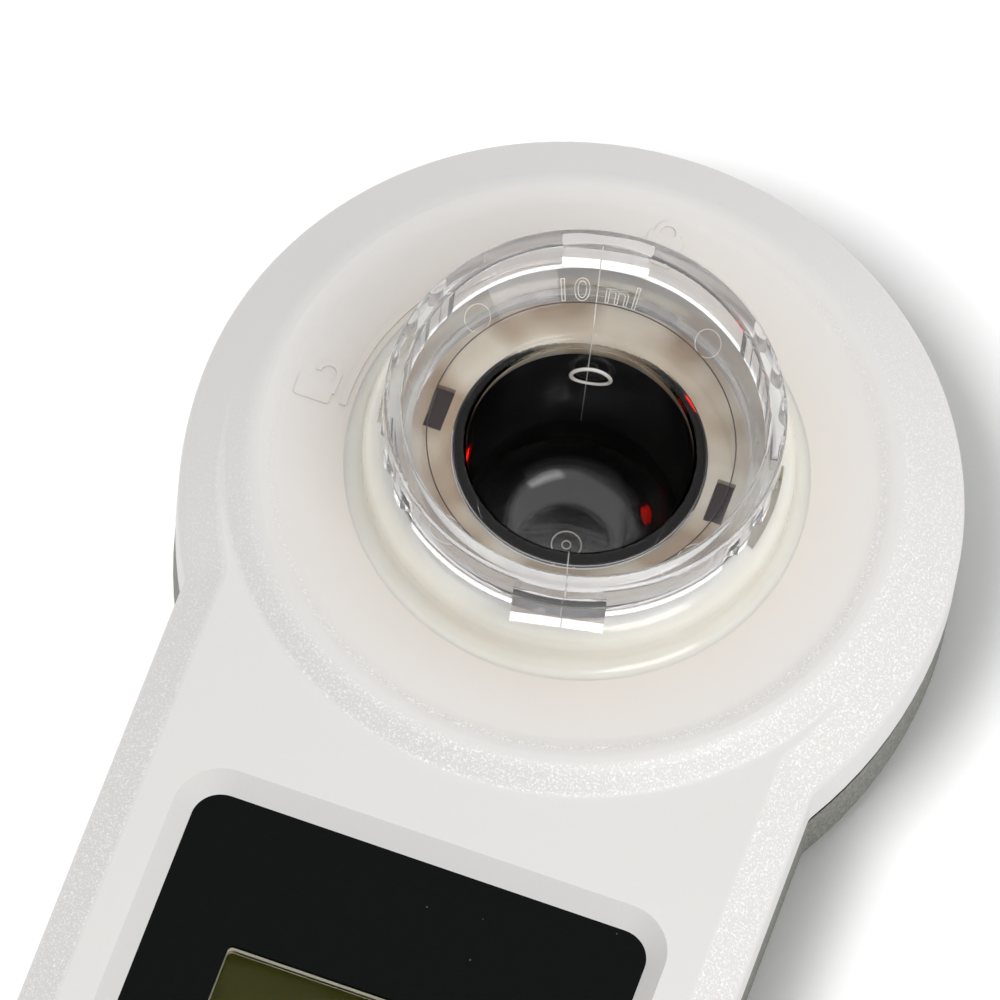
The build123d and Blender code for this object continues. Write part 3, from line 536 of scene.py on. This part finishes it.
# %% Ejector marks on the cone
EJECTOR_ANGLES = (59.5, 148.0, 237.0, 330.0)
EJECTOR_ALONG, EJECTOR_R, EJECTOR_DEGREES, EJECTOR_T = 1.75, 1.6, 5.0, 0.05
rounds = []
for angle in EJECTOR_ANGLES:
    rounds.append([on_cone(angle + EJECTOR_DEGREES * cos(t), EJECTOR_ALONG + EJECTOR_R * sin(t))
                   for t in circle(32)])
ejector_mesh = bead("ejector_marks", rounds, EJECTOR_T, closed=True, sides=6)
moulded("ejector_marks", ejector_mesh, WITNESS, "cuvette")

# %% The oval mark on the well's wall
WALL_R, WALL_ANGLE, WALL_H, WALL_T = 12.52, 101.5, 3.4, 0.26
WALL_HALF_DEGREES, WALL_HALF_H = 10.4, 1.7
wall_mark = [around(WALL_R, WALL_ANGLE + WALL_HALF_DEGREES * cos(t), WALL_H + WALL_HALF_H * sin(t))
             for t in circle(32)]
moulded("wall_mark", bead("wall_mark", [wall_mark], WALL_T, closed=True), WITNESS, "cuvette")

# %% The gate mark on the floor
GATE_RINGS, GATE_T, GATE_LIFT = (0.5, 1.7), 0.09, 0.02
gate = [[around(r, degrees(t), FLOOR_H + GATE_LIFT) for t in circle(32)] for r in GATE_RINGS]
moulded("gate_mark", bead("gate_mark", gate, GATE_T, closed=True), WITNESS, "cuvette")

# %% The step's edge
# A thin dark line painted round the step's inner edge stands in for the dark internal reflection there.
EDGE_LIFT = 0.12
STEP_PAINTED_DARK_LINE = polished("painted_dark_step_line", "#4A4A52", "#2C2C33", rough=0.3, coat=0.0, cloud_mm=3.0)
step_edge = [[around(STEP_R + 0.1, degrees(t), STEP_H + EDGE_LIFT) for t in circle(96)]]
moulded("step_edge", bead("step_edge", step_edge, LINE_T, closed=True), STEP_PAINTED_DARK_LINE, "cuvette")

# %% [markdown]
# ## The fill mark
# The 10 ml mark is engraved in the tool, so it stands up from the cell's cone as a fine outline. It is made
# as an outlined text, turned to a mesh, and then every point is bent round the cone: across the text
# becomes an angle, and up the text becomes a distance up the slope.

# %% The 10 ml mark
MARK_SIZE, MARK_SPACING, MARK_LINE_R = 3.9, 1.12, 0.055
MARK_R = STEP_R + 1.4
MARK_FOOT, MARK_SQUEEZE = 0.35, 0.95

mark_data = bpy.data.curves.new("fill_mark_outline", "FONT")
mark_data.body = "10 ml"
mark_data.align_x = "CENTER"
mark_data.size = MARK_SIZE
mark_data.space_character = MARK_SPACING
mark_data.fill_mode = "NONE"
mark_data.bevel_depth = MARK_LINE_R
mark_text = bpy.data.objects.new("fill_mark_outline", mark_data)
bpy.context.scene.collection.objects.link(mark_text)
mark_mesh = bpy.data.meshes.new_from_object(mark_text)
bpy.data.objects.remove(mark_text)
for vertex in mark_mesh.vertices:
    across, up, out = vertex.co
    vertex.co = on_cone(PARTING - degrees(across / MARK_R), MARK_FOOT + up * MARK_SQUEEZE, out)
mark_mesh.name = "fill_mark"
moulded("fill_mark", mark_mesh, WITNESS, "cuvette")

# %% [markdown]
# ## Beam windows
# Two shallow pockets in the cell's seat let the beam's mounts be seen. A thin dark brown-red plate lies
# on each pocket's floor and makes it darker.

# %% Pocket floors
WINDOW_R, WINDOW_H = 16.85, 6.75
WINDOW_SIZE = (2.2, 5.4, 0.5)
WINDOW_DARK_PLATE = polished("dark_brown_red_plate", "#3C1512", "#160A09", rough=0.3, coat=0.0, cloud_mm=2.0)
WINDOW_DARK_PLATE.node_tree.nodes["Principled BSDF"].inputs["Specular IOR Level"].default_value = 0.1


def plate(name, centre, size):
    """A thin rectangular plate from its centre and size, both in millimetres on the head."""
    shape = bmesh.new()
    bmesh.ops.create_cube(shape, size=1.0)
    bmesh.ops.scale(shape, vec=[length * MM for length in size], verts=shape.verts)
    bmesh.ops.translate(shape, vec=on_head(*centre), verts=shape.verts)
    mesh = bpy.data.meshes.new(name)
    shape.to_mesh(mesh)
    shape.free()
    return mesh


for name, side in (("window_left", -1), ("window_right", 1)):
    floor_plate = plate(name, (side * WINDOW_R, 0, WINDOW_H), WINDOW_SIZE)
    moulded(name, floor_plate, WINDOW_DARK_PLATE, "case")

# %% [markdown]
# ## Steadying strip
# A bright white half-round strip curves round the handle side of the well. It is a painted reflection:
# it stands in for the bright streaks that the well's wall reflects there, and is seen through the cell's
# lip.

# %% Half-round strip
STRIP_LOW, STRIP_HIGH, STRIP_R, STRIP_T = -0.5, 7.8, 14.24, 0.14
STRIP_FROM, STRIP_TO, STRIP_STEP = -172, -8, 4
strip_shape = bmesh.new()
columns = []
for angle in range(STRIP_FROM, STRIP_TO + 1, STRIP_STEP):
    column = [around(r, angle, h) for r in (STRIP_R, STRIP_R + STRIP_T) for h in (STRIP_LOW, STRIP_HIGH)]
    columns.append([strip_shape.verts.new(point) for point in column])
for here, there in zip(columns, columns[1:]):
    for a, b in ((0, 1), (1, 3), (3, 2), (2, 0)):
        strip_shape.faces.new((here[a], here[b], there[b], there[a]))
for end in (columns[0], columns[-1]):
    strip_shape.faces.new((end[0], end[2], end[3], end[1]))
bmesh.ops.recalc_face_normals(strip_shape, faces=strip_shape.faces)
strip_mesh = bpy.data.meshes.new("painted_reflection_strip")
strip_shape.to_mesh(strip_mesh)
strip_shape.free()
# Painted reflection: a bright strip where the well's wall shows bright streaks.
REFLECTION_STRIP_WHITE = polished("painted_reflection_white", "#F2F1EC", "#D9D5CC", rough=0.2, coat=0.5, cloud_mm=3.0)
moulded("painted_reflection_strip", strip_mesh, REFLECTION_STRIP_WHITE, "case")

# %% [markdown]
# ## Key marks
# The keys carry printed signs for up, down, confirm and power. Each is a fine raised line of white ink on
# the cap, and it goes down with its key.

# %% Printed signs
INK_R = 0.16
POWER_R = 1.7
POWER_GAP = 40
WHITE_INK = polished("white_key_ink", "#ECECE8", "#DEDEDA", rough=0.4, coat=0.0, cloud_mm=0.5)


def on_key(node, points):
    """Points in millimetres from the middle of a key's cap, on its top face."""
    low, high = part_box(node)
    middle = Vector(((low[0] + high[0]) / 2, (low[1] + high[1]) / 2, high[2]))
    return [middle + Vector((x, y, 0)) * MM for x, y in points]


power_angles = [radians(a) for a in range(POWER_GAP, 361 - POWER_GAP, 20)]
power_arc = [(POWER_R * sin(a), POWER_R * cos(a)) for a in power_angles]
SIGNS = {
    "key_up": [[(-1.6, -0.9), (0, 1.3), (1.6, -0.9), (-1.6, -0.9)]],
    "key_down": [[(-1.6, 0.9), (0, -1.3), (1.6, 0.9), (-1.6, 0.9)]],
    "key_ok": [[(-1.7, 0.1), (-0.5, -1.2), (1.8, 1.4)]],
    "key_power": [power_arc, [(0, 0.5), (0, 2.1)]],
}
for node, strokes in SIGNS.items():
    sign_mesh = bead(node + "_sign", [on_key(node, stroke) for stroke in strokes], INK_R, sides=6)
    moulded(node + "_sign", sign_mesh, WHITE_INK, node)

# %% [markdown]
# ## Display panel, LCD and light guide
# The panel is polyester film printed black on its back: satin, with the odd speck of dust. The LCD glass
# under it is switched off, so it shows the olive of its polariser.

# %% Printed panel
DUST = {"From Min": 0.02, "From Max": 0.035, "To Min": 0.5, "To Max": 0.0}


def satin_panel():
    """Black printed polyester with a fine tooth and a few specks of dust."""
    material, tree, shader = blank("printed_polyester_panel")
    place = add(tree, "ShaderNodeTexCoord").outputs["Object"]
    fine = add(tree, "ShaderNodeTexNoise", {"Vector": place}, {"Scale": fineness(0.3), "Detail": 2.0})
    dust = add(tree, "ShaderNodeTexVoronoi", {"Vector": place}, {"Scale": fineness(4.0)})
    speck = add(tree, "ShaderNodeMapRange", {"Value": dust.outputs["Distance"]}, DUST)
    ink = add(tree, "ShaderNodeMix", {"Factor": fine.outputs["Fac"]},
              {MIX_A: srgb("#060808"), MIX_B: srgb("#0E1111")}, data_type="RGBA")
    colour = add(tree, "ShaderNodeMix", {"Factor": speck.outputs[0], MIX_A: ink.outputs[MIXED]},
                 {MIX_B: srgb("#6E7270")}, data_type="RGBA")
    tree.links.new(colour.outputs[MIXED], shader.inputs["Base Color"])
    bump = add(tree, "ShaderNodeBump", {"Height": fine.outputs["Fac"]},
               {"Strength": 0.2, "Distance": 0.03 * MM})
    tree.links.new(bump.outputs[0], shader.inputs["Normal"])
    shader.inputs["Roughness"].default_value = 0.55
    shader.inputs["Specular IOR Level"].default_value = 0.05
    return material


paint("front_panel", satin_panel())

# %% LCD and light guide
LCD = polished("olive_lcd_polariser", "#36360A", "#2A2A07", rough=0.3, coat=0.0, cloud_mm=9.0)
LCD.node_tree.nodes["Principled BSDF"].inputs["Specular IOR Level"].default_value = 0.1
LIGHT_GUIDE = polished("frosted_light_guide", "#E2E6E2", "#D2D6D2", rough=0.4, coat=0.0)
paint("lcd_module", LCD)
paint("backlight", LIGHT_GUIDE)

# %% [markdown]
# ## Screws and contacts: plated steel
# Screws, battery contacts and the cans over the switches and the radio are drawn or pressed from steel and
# plated. Drawing leaves fine streaks along one axis, so the noise is squeezed on two axes and stretched on
# the third.

# %% Plated steel
DRAWN = (1.0, 1.0 / 12.0, 1.0)
STEEL_ROUGH = {"To Min": 0.22, "To Max": 0.37}


def plated_steel():
    """Plated steel with streaks along one axis."""
    material, tree, shader = blank("plated_steel")
    place = add(tree, "ShaderNodeTexCoord").outputs["Object"]
    drawn = add(tree, "ShaderNodeMapping", {"Vector": place}, {"Scale": DRAWN})
    streak = add(tree, "ShaderNodeTexNoise", {"Vector": drawn.outputs[0]},
                 {"Scale": fineness(0.4), "Detail": 3.0})
    colour = add(tree, "ShaderNodeMix", {"Factor": streak.outputs["Fac"]},
                 {MIX_A: srgb("#A9ABAE"), MIX_B: srgb("#DADBDD")}, data_type="RGBA")
    tree.links.new(colour.outputs[MIXED], shader.inputs["Base Color"])
    gloss = add(tree, "ShaderNodeMapRange", {"Value": streak.outputs["Fac"]}, STEEL_ROUGH)
    tree.links.new(gloss.outputs[0], shader.inputs["Roughness"])
    shader.inputs["Metallic"].default_value = 1.0
    return material


paint("case_screws battery_cover_screws battery_contacts radio_module key_switches", plated_steel())

# %% [markdown]
# ## Boards, cables and cells
# These sit inside the case and only show when it is opened, but each still gets the finish it is made in:
# green solder mask on the boards, moulded epoxy on the chips and sockets, clear film over the flat cables
# and a printed sleeve round each cell.

# %% Electronics and power
BOARD = polished("green_solder_mask", "#0F5A2C", "#0B4421", rough=0.25, coat=0.4, cloud_mm=1.5)
EPOXY = grained_abs("moulded_chip_epoxy", "#121213", "#1E1E20", 0.3, 0.02)
RIBBON = polished("flat_cable_film", "#D6D8DC", "#BFC2C8", rough=0.3, coat=0.1, cloud_mm=1.0)
SLEEVE = polished("printed_cell_sleeve", "#1F3A6E", "#182E58", rough=0.3, coat=0.3)
paint("led_board detector_board main_pcb", BOARD)
paint("microcontroller photodiode ribbon_sockets", EPOXY)
paint("led_ribbon detector_ribbon", RIBBON)
paint("battery_left battery_middle battery_right", SLEEVE)

# %% [markdown]
# ## The sweep
# The instrument stands on a wide sheet of matt white paper that runs out of view on every side.

# %% Floor
HALF_FLOOR = 3.0


def white_sweep():
    """Matt white paper with a faint tooth."""
    material, tree, shader = blank("white_sweep_paper")
    place = add(tree, "ShaderNodeTexCoord").outputs["Object"]
    tooth = add(tree, "ShaderNodeTexNoise", {"Vector": place}, {"Scale": fineness(1.0), "Detail": 2.0})
    colour = add(tree, "ShaderNodeMix", {"Factor": tooth.outputs["Fac"]},
                 {MIX_A: srgb("#FAFAFA"), MIX_B: srgb("#FDFDFD")}, data_type="RGBA")
    tree.links.new(colour.outputs[MIXED], shader.inputs["Base Color"])
    shader.inputs["Roughness"].default_value = 0.9
    shader.inputs["Specular IOR Level"].default_value = 0.1
    return material


floor_mesh = bpy.data.meshes.new("studio_floor")
corners = [(x * HALF_FLOOR, y * HALF_FLOOR, 0) for x, y in ((-1, -1), (1, -1), (1, 1), (-1, 1))]
floor_mesh.from_pydata(corners, [], [(0, 1, 2, 3)])
floor = bpy.data.objects.new("studio_floor", floor_mesh)
bpy.context.scene.collection.objects.link(floor)
floor.data.materials.append(white_sweep())
print("floor:", 2 * HALF_FLOOR, "m square")

# %% [markdown]
# ## The lamps
# A large softbox overhead and a small one like a window to the front right, near enough for its light to
# fall off towards the left, light the instrument. A lamp high at the front left lights the sweep alone, so
# the sweep burns out to white and a soft shadow falls to the right and the back. Light linking keeps the
# lamps apart: each has a list of what it may light, or of what it may not.

# %% Lamps
# Place and side in metres, power in watts, and whether the lamp lights only the sweep or all but it.
LAMPS = {
    "shadow_softbox": ((-0.36, -0.45, 1.1), 0.5, 12.0, "INCLUDE"),
    "overhead_softbox": ((0.1, 0.0, 1.0), 1.3, 4.0, "EXCLUDE"),
    "window_softbox": ((0.28, -0.16, 0.42), 0.25, 0.75, "EXCLUDE"),
}


def softbox(name, place, side, power):
    """A square light at a place, facing the head."""
    data = bpy.data.lights.new(name, "AREA")
    data.shape = "RECTANGLE"
    data.size, data.size_y, data.energy = side, side, power
    lamp = bpy.data.objects.new(name, data)
    lamp.location = place
    lamp.rotation_euler = (AXIS - Vector(place)).to_track_quat("-Z", "Y").to_euler()
    bpy.context.scene.collection.objects.link(lamp)
    return lamp


def link_to_sweep(lamp, state):
    """Let a lamp light the sweep only (INCLUDE), or everything but the sweep (EXCLUDE)."""
    receivers = bpy.data.collections.new(lamp.name + "_receivers")
    receivers.objects.link(floor)
    receivers.collection_objects[0].light_linking.link_state = state
    lamp.light_linking.receiver_collection = receivers


for name, (place, side, power, state) in LAMPS.items():
    link_to_sweep(softbox(name, place, side, power), state)
    print(name, "at", place, "m,", power, "W")

# %% [markdown]
# ## The surround
# White walls all round fill the shadows. Glossy and clear surfaces see them brighter than matt ones do, as
# they would see the lit walls of a light tent.

# %% Surround
SEEN, FILL = 0.85, 0.60
world = bpy.data.worlds.new("studio_surround")
world.use_nodes = True
bpy.context.scene.world = world
sky = world.node_tree
diffuse = add(sky, "ShaderNodeLightPath").outputs["Is Diffuse Ray"]
level = add(sky, "ShaderNodeMapRange", {"Value": diffuse}, {"To Min": SEEN, "To Max": FILL})
sky.links.new(level.outputs[0], sky.nodes["Background"].inputs["Strength"])
sky.nodes["Background"].inputs["Color"].default_value = srgb("#FFFFFF")
bpy.context.scene.view_settings.view_transform = "Standard"
print("surround:", SEEN, "seen by gloss and glass,", FILL, "by matt surfaces")
